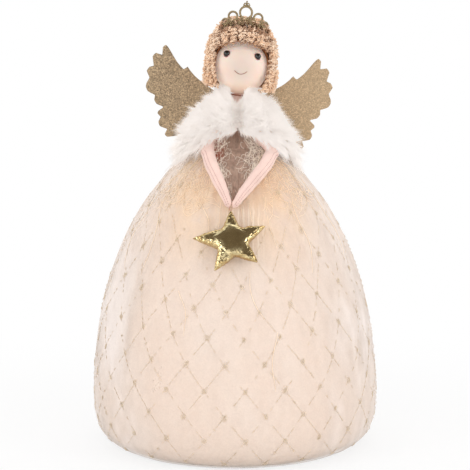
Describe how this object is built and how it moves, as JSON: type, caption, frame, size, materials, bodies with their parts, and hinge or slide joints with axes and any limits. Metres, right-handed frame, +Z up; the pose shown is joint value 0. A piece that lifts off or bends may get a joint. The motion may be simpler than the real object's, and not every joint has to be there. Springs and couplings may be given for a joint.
{
  "type": "angel tree topper",
  "caption": "Doll-shaped tree topper: dome skirt over a card cone, fur collar, flat wings, tiara, and joined arms holding a padded star.",
  "frame": {"origin": "on the skirt's axis, at the level of the base ring's underside", "axes": "+Z up, the doll faces -Y, +X towards the doll's left side"},
  "size_m": [0.1888, 0.1889, 0.2904],
  "materials": {
    "card": "matt board",
    "plug_wood": "plain beech",
    "wadding": "polyester wadding",
    "lining": "peach satin",
    "net": "peach net with gold lattice stitches",
    "skin": "smooth jersey",
    "limb": "pale pink jersey",
    "bodice": "taupe lace over organza",
    "fur": "long white fur",
    "yarn": "curly caramel yarn",
    "thread": "cotton thread",
    "bead": "polished black",
    "glitter": "champagne gold glitter foam sheet",
    "tiara_metal": "antique gold",
    "foil": "mirror-like gold foil cloth",
    "felt": "pale felt"
  },
  "bodies": {
    "topper": {"base_ring": "card", "support_cone": "card", "cone_plug": "plug_wood", "spine_dowel": "plug_wood", "skirt_filling": "wadding", "skirt_lining": "lining", "skirt_net": "net", "torso": "skin", "bodice_panel": "bodice", "fur_collar": "fur", "neck": "limb", "neck_thread": "thread", "wings": "glitter", "wing_patch": "felt", "head": "skin", "eye_left": "bead", "eye_right": "bead", "mouth_thread": "thread", "wig_cap": "yarn", "hair_crown": "yarn", "hair_fringe": "yarn", "hair_left": "yarn", "hair_right": "yarn", "hair_back": "yarn", "tiara": "tiara_metal"},
    "arms": {"arm_left": "limb", "arm_right": "limb"},
    "star_loop": {"star_stitch": "thread"},
    "star": {"star": "foil"}
  },
  "joints": [
    {"name": "arms_lift", "type": "hinge", "parent": "topper", "child": "arms", "pos_m": [0, -0.012, 0.206], "axis": [-1, 0, 0], "range_deg": [0, 20]},
    {"name": "star_lift", "type": "hinge", "parent": "arms", "child": "star_loop", "pos_m": [-0.00267, -0.06589, 0.16101], "axis": [-1, 0, 0], "range_deg": [0, 60]},
    {"name": "star_swing", "type": "hinge", "parent": "star_loop", "child": "star", "pos_m": [-0.00267, -0.06589, 0.16101], "axis": [0, -0.8819, 0.4714], "range_deg": [-25, 25]}
  ]
}
